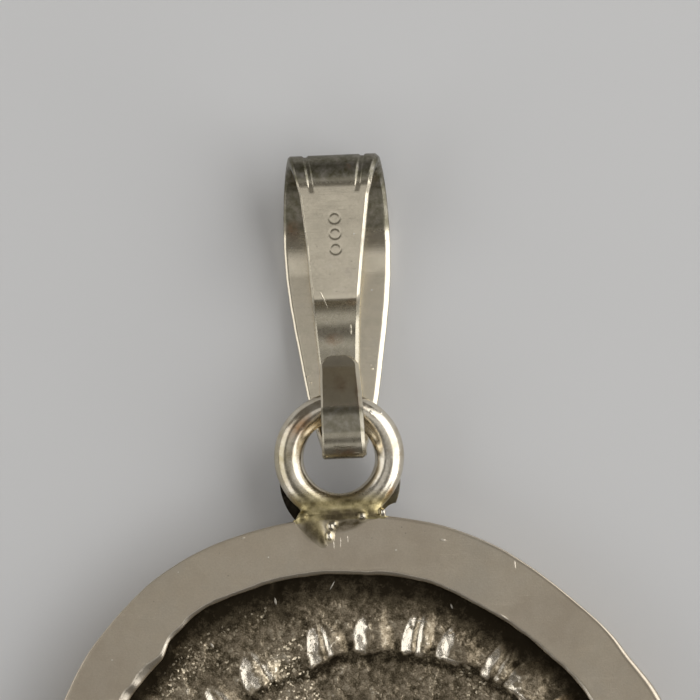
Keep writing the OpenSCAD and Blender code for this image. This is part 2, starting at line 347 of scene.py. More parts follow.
def crescent_distance(x, y, z):
    low = RING_Z - WIRE_R + 0.1 - CRESCENT_T
    flat = np.hypot(x, y - CRESCENT_Y) - CRESCENT_R
    flat = np.maximum(flat, RING_R - WIRE_R + 0.02 - np.hypot(x, y - RING_Y))
    flat = np.maximum(flat, y - RING_Y - 0.05)
    flat = np.maximum(flat, BITE_R - np.hypot(x - BITE_X, y - BITE_Y))
    return np.maximum(flat, abs(z - low - CRESCENT_T / 2) - CRESCENT_T / 2)


def lump_distance(x, y, z, cx, cy, cz, rx, ry, rz, turn):
    """Distance to one ellipsoid of solder, turned on the plate."""
    u = ((x - cx) * cosd(turn) + (y - cy) * sind(turn)) / rx
    v = ((y - cy) * cosd(turn) - (x - cx) * sind(turn)) / ry
    w = (z - PLATE_TOP - cz) / rz
    k = np.sqrt(u * u + v * v + w * w)
    steep = np.sqrt((u / rx) ** 2 + (v / ry) ** 2 + (w / rz) ** 2)
    return k * (k - 1) / np.maximum(steep, 1e-6)


def solder_distance(x, y, z, lumps):
    distances = [lump_distance(x, y, z, *lump) for lump in lumps]
    return reduce(lambda a, b: soft_min(a, b, BLEND_LUMPS), distances)


def joint_distance(x, y, z):
    """Distance to wire, crescent and solder, with a soft foot on the plate's face."""
    solder = solder_distance(x, y, z, SMEARS + SPECKS) - 0.012 * rough(x + z, y - z, 0.5, 21, 3)
    body = soft_min(wire_distance(x, y, z), crescent_distance(x, y, z), BLEND_WIRE)
    body = soft_min(body, solder, BLEND_SOLDER)
    plate = np.maximum(z - PLATE_TOP + 0.004, np.hypot(x, y) - FRAME_R)
    plate = np.maximum(plate, PLATE_Z + 0.2 - z)
    foot = soft_min(body, plate, BLEND_PLATE)
    return np.maximum(foot, np.minimum(body - 0.9 * BLEND_PLATE, solder - 0.9 * BLEND_PLATE))


def surface_net(field, low, cell):
    """Closed mesh where the field is zero, one point a cell. Returns points and quads."""
    size = np.array(field.shape) - 1
    total, count = np.zeros((*size, 3)), np.zeros(size)
    span = (slice(0, -1), slice(1, None))
    for axis in range(3):
        for p, q in np.ndindex(2, 2):
            f, g = [field[tuple(span[k] for k in np.insert((p, q), axis, end))] for end in (0, 1)]
            cross = (f < 0) != (g < 0)
            crossing = [p, q]
            crossing.insert(axis, np.where(cross, f / np.where(cross, f - g, 1), 0))
            for k in range(3):
                total[..., k] += cross * crossing[k]
            count += cross
    active = count > 0
    index = np.full(size, -1)
    index[active] = np.arange(active.sum())
    points = low + cell * (np.argwhere(active) + total[active] / count[active][:, None])
    quads = []
    for axis in range(3):
        near, far = [slice(1, -1)] * 3, [slice(1, -1)] * 3
        near[axis], far[axis] = span
        here, there = field[tuple(near)] < 0, field[tuple(far)] < 0
        for way, leaving in ((1, here & ~there), (-1, ~here & there)):
            ring = []
            for corner in ((0, 0, 0), (0, 1, 0), (0, 1, 1), (0, 0, 1)):
                ring.append(index[tuple((np.argwhere(leaving) + np.roll(corner, axis)).T)])
            quads.append(np.stack(ring[::way], 1))
    return points, np.concatenate(quads)


def settle(points, distance, rounds=3, gap=0.004):
    """Moves points onto the surface where the distance is zero."""
    for k in range(rounds):
        slope = [distance(*(points + d).T) - distance(*(points - d).T) for d in gap * np.eye(3)]
        slope = np.stack(slope, 1) / (2 * gap)
        size = np.maximum((slope ** 2).sum(1), 0.25)
        move = np.clip(distance(*points.T) / size, -0.01, 0.01)
        points = points - move[:, None] * slope
    return points


def fade(distance, reach):
    """1 inside a surface, and less with the distance outside it."""
    return np.exp(-np.maximum(distance, 0) / reach)


def ring_tones(x, y, z):
    """How far solder and a film of it on the plate cover each point, and where the crescent is painted
    dark as shade.
    """
    smear = fade(solder_distance(x, y, z, SMEARS), SMEAR_REACH)
    clear = 1 - fade(solder_distance(x, y, z, SPECKS), SPECK_REACH)
    near = 1 - step(RING_Y - 1.8, RING_Y - 0.9, y)
    solder = np.clip(0.75 * smear + 0.6 * near, 0, 1) * clear
    film = (1 - step(PLATE_TOP + 0.01, PLATE_TOP + 0.07, z)) * (np.hypot(x, y) < FRAME_R - 0.15) * clear
    # The crescent under the ring's hole is painted dark as shade
    on_crescent = step(0, 0.08, wire_distance(x, y, z))
    on_crescent = on_crescent * (1 - step(0, 0.05, crescent_distance(x, y, z)))
    shade_share = np.where(x < 0, 1, 0.8)
    return solder, film, on_crescent * (1 - step(0.2, 0.6, smear)) * shade_share


def make_ring():
    axes = [np.arange(a, b, NET_CELL) for a, b in zip(NET_LOW, NET_HIGH)]
    x, y, z = np.meshgrid(*axes, indexing="ij")
    points, quads = surface_net(joint_distance(x, y, z), NET_LOW, NET_CELL)
    points = settle(points, joint_distance)
    solder, film, dark = ring_tones(*points.T)
    return piece("wire_ring", points, quads.tolist(), solder=solder, film=film, dark=dark)


# Coin: both faces are height fields on disc-shaped grids

# Worn beads that show in the photo: angle round the stamp's middle, width, widths of the left and
# right flank, share of the full height, and place of a cleft as a share of the width from the left
BEADS = [
    (140.5, 1.25, 0.5, 0.4, 0.8, 0), (131.5, 1.3, 0.55, 0.4, 0.85, 0.5),
    (120.6, 1.8, 0.7, 0.45, 1, 0.58), (103, 1.72, 0.7, 0.3, 1, 0.5),
    (91.2, 1.86, 0.72, 0.4, 1, 0), (79.8, 1.46, 0.52, 0.3, 1, 0.46),
    (69.3, 1.94, 0.66, 0.45, 1, 0), (58.6, 1.22, 0.45, 0.4, 0.9, 0.5),
    (50.3, 1.9, 0.6, 0.5, 0.9, 0),
]
PLAIN_PITCH = 11.25
# Width, flanks, height and cleft of the beads that the photo doesn't show, and their number
PLAIN_BEAD = (1.5, 0.42, 0.42, 0.9, 0)
PLAIN_BEADS = 22
# Where a bead starts and ends outward from the row's radius
BEAD_INNER, BEAD_OUTER = (-0.86, -0.58), (0.1, 1)
# Groove along the beads' feet
FOOT_R, FOOT_W, FOOT_DEEP = BEAD_ROW_R - 0.97, 0.18, 0.32
# Front: radius of the beads, of the ring of eight petals, of each petal and of the boss
DOT_R, PETALS_R, PETAL_R, BOSS_R = 0.8, 4.2, 1.15, 1.75
PETAL_PITCH = math.pi / 4


def bead_height(u, t, width, left, right, cleft):
    """Worn bead: u runs outward and t across it. Foot and left flank are its steep sides."""
    t = t / (1 - 0.35 * step(-0.2, 0.95, u))
    rise = np.clip((t + width / 2 + 0.1) / (left + 0.1), 0, 1)
    pit = 0.32 * step(-width / 2 - 0.26, -width / 2 - 0.1, t)
    across = (pit + 1) * (0.65 * rise + 0.35 * step(0, 1, rise)) - pit
    across = across * (1 - step(width / 2 - 1.6 * right, width / 2, t))
    along = step(*BEAD_INNER, u) * (1 - step(*BEAD_OUTER, u))
    crown = 1 - 0.3 * (t / width + 0.5)
    if cleft:
        crown = crown * (1 - 0.55 * np.exp(-((t - (cleft - 0.5) * width) / 0.12) ** 2))
    return across * along * crown


def foot_groove(r, x, y):
    """Groove along the foot of the row of beads, deeper in places, which the wear also darkens as
    painted shade.
    """
    return np.exp(-((r - FOOT_R) / FOOT_W) ** 2) * (0.7 + 0.3 * noise(x, y, 1.5, 35))


def from_stamp(x, y):
    """Distance and angle round the stamp's middle, and the wander of a worn stamp."""
    sx, sy = x - STAMP[0], y - STAMP[1]
    wander = 0.12 * noise(x, y, 1.1, 31) + 0.06 * rough(x, y, 0.45, 32, 2)
    return np.hypot(sx, sy) + wander, np.degrees(np.arctan2(sy, sx)) % 360, wander


def coin_back(x, y):
    """Height of the coin's back over its flan, as a share of the full relief."""
    r, a, wander = from_stamp(x, y)
    placed = list(BEADS)
    for k in range(PLAIN_BEADS):
        placed.append(((BEADS[-1][0] - PLAIN_PITCH * (k + 1)) % 360, *PLAIN_BEAD))
    h = np.zeros_like(x)
    for angle, width, left, right, share, cleft in placed:
        turn = (a - angle + 180) % 360 - 180
        t = np.radians(-turn) * r + 0.5 * wander
        bead = share * bead_height(r - BEAD_ROW_R, t, width, left, right, cleft)
        h = np.where(abs(bead) > abs(h), bead, h)
    h = h * (0.92 + 0.22 * rough(x, y, 0.8, 33, 3))
    h = h - FOOT_DEEP * foot_groove(r, x, y)
    star = star_height(x - STAMP[0], y - STAMP[1])
    return np.maximum(h, star * (0.8 + 0.3 * rough(x, y, 0.9, 36, 3)))


def dome(r, radius):
    return np.sqrt(np.clip(1 - (r / radius) ** 2, 0, 1))


def star_height(x, y):
    """Worn star of eight rounded rays round a boss."""
    r = np.hypot(x, y)
    a = np.arctan2(y, x)
    ray = np.cos(4 * a) * 0.5 + 0.5
    reach = 2.2 + 3.3 * ray ** 1.6
    rays = 0.75 * (1 - step(reach - 0.55, reach + 0.1, r))
    return np.maximum(rays, dome(r, 1.15))


def coin_front(x, y):
    """Height of the coin's front: a plain rim, a row of beads and a rosette."""
    r = np.hypot(x, y)
    a = np.arctan2(y, x)
    h = step(COIN_R - 1, COIN_R - 0.8, r)
    turn = (np.degrees(a) / PLAIN_PITCH - 0.09 + 0.5) % 1 - 0.5
    t = turn * math.radians(PLAIN_PITCH) * BEAD_ROW_R
    h = np.maximum(h, 0.95 * dome(np.hypot(t, r - BEAD_ROW_R), DOT_R))
    petal_turn = ((a / PETAL_PITCH + 0.5) % 1 - 0.5) * PETAL_PITCH
    h = np.maximum(h, 0.8 * dome(np.hypot(r - PETALS_R, petal_turn * PETALS_R), PETAL_R))
    return np.maximum(h, 0.85 * dome(r, BOSS_R))


def rise_to_right(height, x, y, gap=0.04):
    """How steeply a height function rises to the right, in units of height a millimetre."""
    return (height(x + gap, y) - height(x - gap, y)) / (2 * gap)


# Paler and darker places on the coin's back: across, along, half width, half length, amount
TONED = [
    (-2.4, 7, 0.8, 1, 0.16), (-5.2, 7.3, 1, 1, -0.2), (-0.2, 8, 1, 0.6, 0.05),
    (4.5, 7.5, 0.8, 0.6, -0.24), (0.5, 6.6, 2.5, 0.5, 0.03),
]

# Grainy places on the coin's back: across, along, half width, half length, strength
GRAINY = [
    (-2.3, 7.2, 0.8, 0.8, 0.9), (-3.5, 6.5, 0.9, 0.8, 0.85), (5.3, 5.8, 0.9, 0.6, 0.6),
    (-4.8, 7, 0.6, 0.6, 0.6), (-1.4, 5.4, 1.4, 0.7, 0.7), (-3.4, 9.1, 0.9, 0.4, 0.8),
    (-4.8, 8.4, 0.9, 0.6, 0.85), (-6.3, 7.4, 1, 0.9, 0.85), (-7, 6.3, 0.9, 0.9, 0.8),
]


def spots(x, y, places, start=0):
    """Soft spots added to a start value."""
    total = start
    for cx, cy, wide, tall, much in places:
        total = total + much * np.exp(-((x - cx) / wide) ** 2 - ((y - cy) / tall) ** 2)
    return total


def margin_shade(x, y):
    """1 close to the plate's opening, where painted shade darkens the recessed coin, and 0 well inside
    it.
    """
    angle = np.degrees(np.arctan2(y, x)) % 360
    reach = 1.9 - 0.95 * step(112, 132, angle)
    gap = OPENING_R * table_share(OPENING_OUTLINE, angle) - np.hypot(x, y)
    return 1 - step(0.1, reach, gap + 0.3 * noise(x, y, 0.9, 37))


def disc_grid(n):
    """An n by n grid of points bent into a disc of radius 1."""
    s = np.linspace(-1, 1, n)
    u, v = np.meshgrid(s, s, indexing="ij")
    flat = abs(u) > abs(v)
    big, small = np.where(flat, u, v), np.where(flat, v, u)
    turn = math.pi / 4 * small / np.where(big == 0, 1, big)
    x, y = big * np.cos(turn), big * np.sin(turn)
    return np.where(flat, x, y), np.where(flat, y, x)


def grid_border(n):
    """Border of an n by n grid, once round from its first corner."""
    side = np.arange(n)
    return np.concatenate([
        side * n, (n - 1) * n + side[1:], side[::-1][1:] * n + n - 1, side[::-1][1:-1]])


def sew(upper, lower):
    """Faces between two closed borders that start at the same angle and turn the same way."""
    faces = []
    i = j = 0
    while i < len(upper) or j < len(lower):
        a, b = upper[i % len(upper)], lower[j % len(lower)]
        if i * len(lower) <= j * len(upper):
            i += 1
            after = upper[i % len(upper)]
        else:
            j += 1
            after = lower[j % len(lower)]
        faces.append([int(a), int(after), int(b)])
    return faces


RIM_R = COIN_R - 0.03
FLAN_TOP, FLAN_LOW = COIN_TOP - RELIEF_H, COIN_Z + RELIEF_H
# Points along each side of the grids for the back and the plainer front
BACK_POINTS, FRONT_POINTS = 281, 125
# Heights of the back's unevenness: broad swell, lumps, grain, gouges, sunken shaded margin, streaks
SWELL_H, LUMP_H, GRAIN_H, GOUGE_H, MARGIN_H, STREAK_H = 0.03, 0.045, 0.045, 0.05, 0.05, 0.022


def back_surface(x, y):
    """Height of the coin's back in millimetres, its wear with painted highlight and shade in it, its
    sparkle, and its grain strength, which also paints shade near the opening.
    """
    back = coin_back(x, y)
    from_middle = from_stamp(x, y)[0]
    shade = margin_shade(x, y)
    calm = 1 - 0.7 * shade
    grain = 0.4 * rough(x, y, 0.7, 41, 3) + 0.6 * rough(x, y, 0.28, 45, 2)
    gouge = step(0.35, 0.75, rough(x, y, 1.3, 47, 3))
    rise = rise_to_right(coin_back, x, y)
    streak = rough(x, y / 2.5, 0.22, 59, 2)
    # The beads' left flanks, which the wear paints bright as a highlight
    flank = step(0.3, 1.4, rise) * step(-0.16, 0.08, back) * (0.88 + 0.5 * streak)

    inside = 1 - step(COIN_R - 0.5, COIN_R - 0.1, np.hypot(x, y))
    swell = SWELL_H * rough(x, y, 3.2, 43, 2) + LUMP_H * rough(x, y, 1, 49, 3) * calm
    top = FLAN_TOP + RELIEF_H * np.clip(back, -0.4, 1) - MARGIN_H * shade
    top = top + inside * (swell + GRAIN_H * grain * calm - GOUGE_H * gouge)
    top = np.minimum(top, COIN_TOP)
    top = np.minimum(top + STREAK_H * streak * flank, COIN_TOP)

    # The groove at the beads' feet is darkened as painted shade
    groove_shade = foot_groove(from_middle, x, y)
    # Right flanks are painted a little lighter
    right_flank_light = step(0.3, 1.3, -rise) * (0.3 + 2.5 * streak)
    # Pits left of the beads are darkened as painted shade
    hollow = np.clip(back, -0.25, 0) * (1 - groove_shade)
    # Painted shade between the beads at their feet: step runs backward, from 1 on their row to 0 off it
    between = (1 - abs(np.clip(back, -1, 1))) * step(0.5, 0.1, abs(from_middle - BEAD_ROW_R + 0.6))
    # Less wear near the opening is painted shade on the recessed margin
    wear = 0.28 + 0.14 * np.clip(back, 0, 1) + 0.85 * flank - 0.16 * shade - 0.45 * groove_shade
    wear = wear + 0.07 * right_flank_light + 1.5 * hollow
    wear = wear - 0.25 * between - 0.25 * gouge + spots(x, y, TONED)
    wear = wear + calm * (0.15 * grain + 0.14 * rough(x, y, 2.4, 51, 3))
    bright = spots(x, y, GRAINY, 0.45 * step(0.1, 0.6, rough(x, y, 1.9, 57, 3)))
    spark = np.clip(bright + 0.4 * flank, 0, 1) * (1 - 0.6 * shade)
    return top, wear, spark, calm * (1 - 0.5 * np.clip(flank, 0, 1))


def front_surface(x, y):
    """Height of the coin's front in millimetres, and its wear."""
    front = coin_front(x, y)
    low = FLAN_LOW - RELIEF_H * front * 0.98
    low = np.maximum(low + 0.012 * rough(x, y, 0.6, 53, 3) * (front < 0.9), COIN_Z)
    return low, 0.3 + 0.4 * front + 0.15 * rough(x, y, 1.2, 55, 3)


def coin_edge(border, first):
    """Rows of points down the coin's edge from the back's border, and the point numbers of each."""
    way = border[:, :2] / np.hypot(border[:, 0], border[:, 1])[:, None]
    rows, loops = [], []
    for out, z in ((0.02, border[:, 2] - 0.01), (0.03, border[:, 2] - 0.04), (0.03, FLAN_LOW)):
        rows.append(np.column_stack([border[:, :2] + way * out, z + 0 * border[:, 2]]))
        loops.append(first + np.arange(len(border)))
        first += len(border)
    return rows, loops


def make_coin():
    x, y = [side * RIM_R for side in disc_grid(BACK_POINTS)]
    top, wear, spark, back_grit_and_shade = back_surface(x, y)
    px, py = [side * RIM_R for side in disc_grid(FRONT_POINTS)]
    low, front_wear = front_surface(px, py)
    back_size, front_size = x.size, px.size
    points = [np.stack([x, y, top], 2).reshape(-1, 3), np.stack([px, py, low], 2).reshape(-1, 3)]
    upper, lower = grid_border(BACK_POINTS), grid_border(FRONT_POINTS) + back_size
    rows, loops = coin_edge(points[0][upper], back_size + front_size)
    loops.insert(0, upper)

    faces = grid_faces(BACK_POINTS, BACK_POINTS)
    for face in grid_faces(FRONT_POINTS, FRONT_POINTS):
        faces.append([i + back_size for i in reversed(face)])
    for a, b in zip(loops[:-1], loops[1:]):
        faces += np.stack([a, np.roll(a, -1), np.roll(b, -1), b], 1).tolist()
    faces += sew(loops[-1], lower)

    edge_size = 3 * len(upper)
    plain = np.ones(front_size + edge_size)
    worn = np.concatenate([wear.ravel(), front_wear.ravel(), np.full(edge_size, 0.3)])
    # Grain strength on the back also thins the material's mottle near the opening, which paints shade
    # there
    return piece(
        "coin_struck", np.concatenate(points + rows), faces, wear=np.clip(worn, 0, 1),
        spark=np.concatenate([spark.ravel(), 0.2 * plain]),
        grit=np.concatenate([back_grit_and_shade.ravel(), 0.3 * plain]))


# Bail: one strip, folded. Its profile runs in the plane (along, deep) of the solids' bail

BAIL_L, BAIL_W, STRIP_T = 11.66, 4.12, 0.45
BAIL_X = round((bail_low.x + bail_high.x) / 2 / MM, 2)
TOP_R, SHOULDER_R, FRONT_R = 0.95, 2.2, 5.5
SLOPE_BACK, SLOPE_KNEE, SHOULDER_A = 26, 48, 50
KNEE_R, TAIL_R, TAIL_LAP = 0.8, 2.35, 0.75
TONGUE_A, TIP_R, TIP_A = 35, 1, 4
WIRE_UP = 2.1
LOOP_BEND_R, LOOP_FLAT_L, LOOP_FLAT_A, LOOP_ROOM = 0.82, 0.75, 4.65, 0.85
LOOP_LOW_R = 2 * WIRE_R + LOOP_ROOM + 2 * STRIP_T - LOOP_BEND_R
LOOP_CORNER_R = STRIP_T + 0.1
HALF_T = STRIP_T / 2
EDGE_TILT, EDGE_RIGHT, EDGE_LEFT = 38, 0.15, 0.075
# Two engraved lines: place as a share of the half width, width, width of their sides, depth
GROOVE_AT, GROOVE_W, GROOVE_SIDE, GROOVE_DEEP = 0.63, 0.24, 0.06, 0.06
# Shares of the strip's length between which they fade in and out
GROOVE_SHARES = [0.268, 0.295, 0.66, 0.74]
# Three plain punched rings on the back: run along the strip, place across, spacing and radius
PUNCH_RUN, PUNCH_X, PUNCH_GAP, PUNCH_R = 5.62, -0.06, 0.62, 0.2
PUNCH_DEEP, PUNCH_W = 0.013, 0.036
# Steps along the strip, finer where the rings are punched, and points across its two faces
STEP, PUNCH_STEP = 0.05, 0.03
OUTER_POINTS, INNER_POINTS = 91, 31
# The tongue's tip is rounded over this last share of the length, by this much
TIP_SHARE, TIP_ROUND = 0.012, 0.2

# Share of the strip's length, width and sideways shift as shares of the bail's width
STRIP_OUTLINE = np.array([
    (0, 0.37, -0.025), (0.06, 0.41, -0.03), (0.11, 0.45, -0.03), (0.19, 0.54, -0.015),
    (0.265, 0.655, -0.005), (0.315, 0.83, 0), (0.36, 0.895, 0), (0.4, 0.95, 0),
    (0.44, 0.985, 0), (0.485, 1, 0), (0.53, 0.98, 0), (0.57, 0.93, 0), (0.61, 0.86, 0),
    (0.65, 0.775, 0), (0.7, 0.675, 0), (0.74, 0.565, 0), (0.78, 0.43, -0.01),
    (0.85, 0.405, -0.012), (0.985, 0.365, -0.024), (1, 0.27, -0.024),
])


def heading(a):
    return np.array([cosd(a), sind(a)])


def square_at(a):
    return np.array([-sind(a), cosd(a)])


def outward_at(a):
    return np.array([sind(a), cosd(a)])


def arc(mid, r, a0, a1):
    """Points on an arc about 0.04 mm apart."""
    n = max(3, int(abs(math.radians(a1 - a0)) * r / 0.04))
    a = np.radians(np.linspace(a0, a1, n))
    return mid + r * np.stack([np.cos(a), np.sin(a)], 1)


def strip_path():
    """Middle line of the strip, and the places that the bail's rest on the ring needs."""
    deep_top = TOP_R + SHOULDER_R * sind(SHOULDER_A) + FRONT_R * (1 - sind(SHOULDER_A))
    top = np.array([BAIL_L - TOP_R, deep_top - TOP_R])
    shoulder = np.array([BAIL_L - SHOULDER_R, deep_top - TOP_R])
    front = shoulder + (SHOULDER_R - FRONT_R) * heading(-SHOULDER_A)
    back_start = top + TOP_R * square_at(SLOPE_BACK)
    tail_deep = 2 * STRIP_T + FIT_GAP
    drop = (back_start[1] - tail_deep - KNEE_R * (cosd(SLOPE_BACK) - cosd(SLOPE_KNEE))
            - TAIL_R * (1 - cosd(SLOPE_KNEE)))
    back_end = back_start - drop / sind(SLOPE_BACK) * heading(SLOPE_BACK)
    knee = back_end - KNEE_R * square_at(SLOPE_BACK)
    tail = knee + (KNEE_R + TAIL_R) * square_at(SLOPE_KNEE)
    low = np.array([LOOP_LOW_R, LOOP_LOW_R])
    bend = np.array([LOOP_BEND_R, LOOP_LOW_R])
    corner = (bend + (LOOP_BEND_R - LOOP_CORNER_R) * square_at(LOOP_FLAT_A)
              + LOOP_FLAT_L * heading(LOOP_FLAT_A))
    tongue_start = corner + LOOP_CORNER_R * outward_at(TONGUE_A)
    tip_deep = tail_deep + FIT_GAP + STRIP_T
    tongue_l = (tongue_start[1] - tip_deep - TIP_R * (cosd(TIP_A) - cosd(TONGUE_A))) / sind(TONGUE_A)
    tongue_end = tongue_start + tongue_l * heading(-TONGUE_A)
    tip = tongue_end + TIP_R * outward_at(TONGUE_A)
    # Each arc starts a little past the end of the one before, so that no two points meet
    line = np.concatenate([
        [[tail[0] - TAIL_LAP, tail_deep - HALF_T]],
        arc(tail, TAIL_R + HALF_T, -90, -90 + SLOPE_KNEE),
        arc(knee, KNEE_R - HALF_T, 87 + SLOPE_KNEE, 90 + SLOPE_BACK),
        arc(top, TOP_R - HALF_T, 90 + SLOPE_BACK, 0),
        arc(shoulder, SHOULDER_R - HALF_T, -2, -SHOULDER_A),
        arc(front, FRONT_R - HALF_T, -SHOULDER_A - 1, -90),
        arc(low, LOOP_LOW_R - HALF_T, -90, -180),
        arc(bend, LOOP_BEND_R - HALF_T, -181, -270 + LOOP_FLAT_A),
        arc(corner, LOOP_CORNER_R - HALF_T, -270 + LOOP_FLAT_A, -270 - TONGUE_A),
        arc(tip, TIP_R + HALF_T, -90 - TONGUE_A, -90 - TIP_A),
    ])
    across = outward_at(TONGUE_A)
    wire_deep = (across @ tongue_start - STRIP_T - WIRE_R - FIT_GAP - across[0] * WIRE_UP) / across[1]
    arm = (FRONT_R - wire_deep, front[0] - WIRE_UP)
    lean = math.acos((FRONT_R - RING_Z) / math.hypot(*arm)) - math.atan2(arm[1], arm[0])
    return line, wire_deep, lean


def resample(line):
    """Points along a line, closer together where the rings are punched, and the run at each."""
    run = np.concatenate([[0], np.cumsum(np.hypot(*np.diff(line, axis=0).T))])
    marked = PUNCH_GAP + PUNCH_R + 0.12
    first, second = PUNCH_RUN - marked, PUNCH_RUN + marked
    at = np.concatenate([
        np.arange(0, first, STEP), np.arange(first, second, PUNCH_STEP),
        np.arange(second, run[-1], STEP), [run[-1]]])
    return np.stack([np.interp(at, run, line[:, k]) for k in (0, 1)], 1), at


def filed_edge(half, wide):
    """Points round the right edge of the strip, from its outer face to its inner one."""
    deep = wide * tand(EDGE_TILT)
    upper = [(half - wide * (1 - k), HALF_T - deep * k) for k in (0.08, 0.4, 0.75, 0.92)]
    upper.append((half, HALF_T - deep - 0.01))
    return upper + [(half, 0)] + [(p, -q) for p, q in upper[::-1]]


def punch_depth(across, run):
    depth = np.zeros_like(across)
    for k in (-1, 0, 1):
        away = np.hypot(across - PUNCH_X, run - PUNCH_RUN - k * PUNCH_GAP)
        depth += PUNCH_DEEP * np.exp(-((away - PUNCH_R) / PUNCH_W) ** 2)
    return depth


def strip_section(share, run):
    """Section of the strip as (across, square to the strip), with its grooves and rings."""
    half = BAIL_W * np.interp(share, STRIP_OUTLINE[:, 0], STRIP_OUTLINE[:, 1]) / 2
    half += 0.012 * float(rough(run, 7, 0.8, 62, 3))
    shift = BAIL_W * np.interp(share, STRIP_OUTLINE[:, 0], STRIP_OUTLINE[:, 2])
    tip = min(1, (1 - share) / TIP_SHARE)
    half = half - TIP_ROUND * (1 - math.sqrt(1 - (1 - tip) ** 2))
    outer = np.linspace(EDGE_LEFT - half, half - EDGE_RIGHT, OUTER_POINTS)
    inner = np.linspace(half - EDGE_RIGHT, EDGE_LEFT - half, INNER_POINTS)
    groove = np.interp(share, GROOVE_SHARES, [0, 1, 1, 0])
    depth = np.zeros_like(outer)
    for side in (-1, 1):
        away = abs(outer - side * GROOVE_AT * half)
        depth += GROOVE_DEEP * groove * (1 - step(GROOVE_W / 2 - GROOVE_SIDE, GROOVE_W / 2, away))
    depth += punch_depth(outer + shift, run)
    dings = 0.005 * rough(outer + shift, run + 0 * outer, 1.1, 61, 3)
    right = filed_edge(half, EDGE_RIGHT)
    left = [(-p, q) for p, q in filed_edge(half, EDGE_LEFT)[::-1]]
    section = np.concatenate([
        np.stack([outer, HALF_T - depth + dings], 1), right,
        np.stack([inner, -HALF_T + 0 * inner], 1), left])
    section[:, 0] += shift
    return section


# Stretches of painted dark reflection and shade: places along the bail between which each one fades
TOP_FADE = (BAIL_L - 1.3, BAIL_L - 0.95)
UNDER_FADE = (BAIL_L - 2.75, BAIL_L - 2.35)
TAIL_FADE = (6.2, 6.4)
LOOP_LOW, LOOP_FADE_IN, LOOP_FADE_OUT = 0.9, (0.8, 0.95), (1.7, 1.85)


def tarnish_at(share, along, outside):
    """Painted darkening in the folds: dark reflection on the top, the tail, the loop and a little on
    the tongue, and shade inside the front below the top.
    """
    top = 0.97 * step(*TOP_FADE, along) * (share < 0.4)
    if not outside:
        return max(top, 0.88 * step(*UNDER_FADE, along) * (0.3 < share < 0.6))
    tail = 0.42 * (1 - step(*TAIL_FADE, along)) * (share < 0.25)
    loop = max(0.5 * (along < LOOP_LOW), 0.78 * step(*LOOP_FADE_IN, along))
    loop = loop * (1 - step(*LOOP_FADE_OUT, along)) * (share > 0.75)
    tongue = 0.06 * (share > 0.8)
    return max(top, tail, loop, tongue)


def make_bail():
    """Sweeps the section along the folded path, and leans the bail until it rests on the ring."""
    line, wire_deep, lean = strip_path()
    path, run = resample(line)
    forward = np.gradient(path, run, axis=0)
    forward /= np.hypot(*forward.T)[:, None]
    square = np.stack([-forward[:, 1], forward[:, 0]], 1)
    rows, tarnish = [], []
    for point, side, s in zip(path, square, run):
        section = strip_section(s / run[-1], s)
        deep = point[1] + section[:, 1] * side[1] - wire_deep
        along = point[0] + section[:, 1] * side[0] - WIRE_UP
        rows.append(np.stack([
            BAIL_X + section[:, 0],
            RING_Y + RING_R + along * math.cos(lean) + deep * math.sin(lean),
            RING_Z - along * math.sin(lean) + deep * math.cos(lean)], 1))
        # Painted dark reflection and shade in the folds
        inner, outer = [tarnish_at(s / run[-1], point[0], outside) for outside in (False, True)]
        tarnish.append(np.where(section[:, 1] > 0, outer, inner))
    rows = np.array(rows)
    count, sides = rows.shape[:2]
    faces = grid_faces(count, sides, False, True)
    faces.append(list(range(sides)))
    faces.append([(count - 1) * sides + i for i in reversed(range(sides))])
    return piece("bail_strip", rows, faces, tarnish=tarnish)


# Materials

class Look:
    """What is being made, its node tree, and the place on its surface in millimetres."""
    made = tree = where = None


def begin(made):
    """Empties the node tree of a material or world, and adds to it from now on."""
    made.use_nodes = True
    Look.made, Look.tree = made, made.node_tree
    Look.tree.nodes.clear()


def begin_material(name):
    begin(bpy.data.materials.new(name))
    Look.where = vector_node("MULTIPLY", add("TexCoord").outputs["Object"], (1 / MM,) * 3)


def add(kind, inputs=None, **settings):
    """Adds a shader node. An input given as a socket is linked, and any other is set."""
    made = Look.tree.nodes.new("ShaderNode" + kind)
    for key, value in settings.items():
        setattr(made, key, value)
    for key, value in (inputs or {}).items():
        fill(made.inputs[key], value)
    return made


def fill(socket, value):
    if isinstance(value, bpy.types.NodeSocket):
        Look.tree.links.new(value, socket)
    else:
        socket.default_value = value


def vector_node(operation, *values):
    return add("VectorMath", dict(enumerate(values)), operation=operation).outputs[0]


def pattern(scale, detail=3, roughness=0.55, where=None):
    """Noise over the surface."""
    return add("TexNoise", {
        "Vector": where or Look.where, "Scale": scale, "Detail": detail,
        "Roughness": roughness}).outputs[0]


def ramp(value, stops):
    """Colour ramp from (place, colour or grey) stops."""
    made = add("ValToRGB", {0: value})
    points = made.color_ramp.elements
    while len(points) < len(stops):
        points.new(0.5)
    for point, (place_at, colour) in zip(points, stops):
        point.position = place_at
        point.color = (*colour, 1) if isinstance(colour, tuple) else (colour,) * 3 + (1,)
    return made.outputs[0]


def mix(share, a, b):
    made = add("Mix", {0: share}, data_type="RGBA")
    for key, value in ((6, a), (7, b)):
        fill(made.inputs[key], (*value, 1) if isinstance(value, tuple) else value)
    return made.outputs[2]


def layered(colour, layers):
    """A colour under layers of (share, colour)."""
    for share, over in layers:
        colour = mix(share, colour, over)
    return colour


def math_node(operation, a, b, clamp=False):
    made = add("Math", {0: a, 1: b}, operation=operation, use_clamp=clamp)
    return made.outputs[0]


def times(a, b):
    return math_node("MULTIPLY", a, b)


def plus(a, b):
    return math_node("ADD", a, b)


def greatest(values):
    return reduce(lambda a, b: math_node("MAXIMUM", a, b), values)


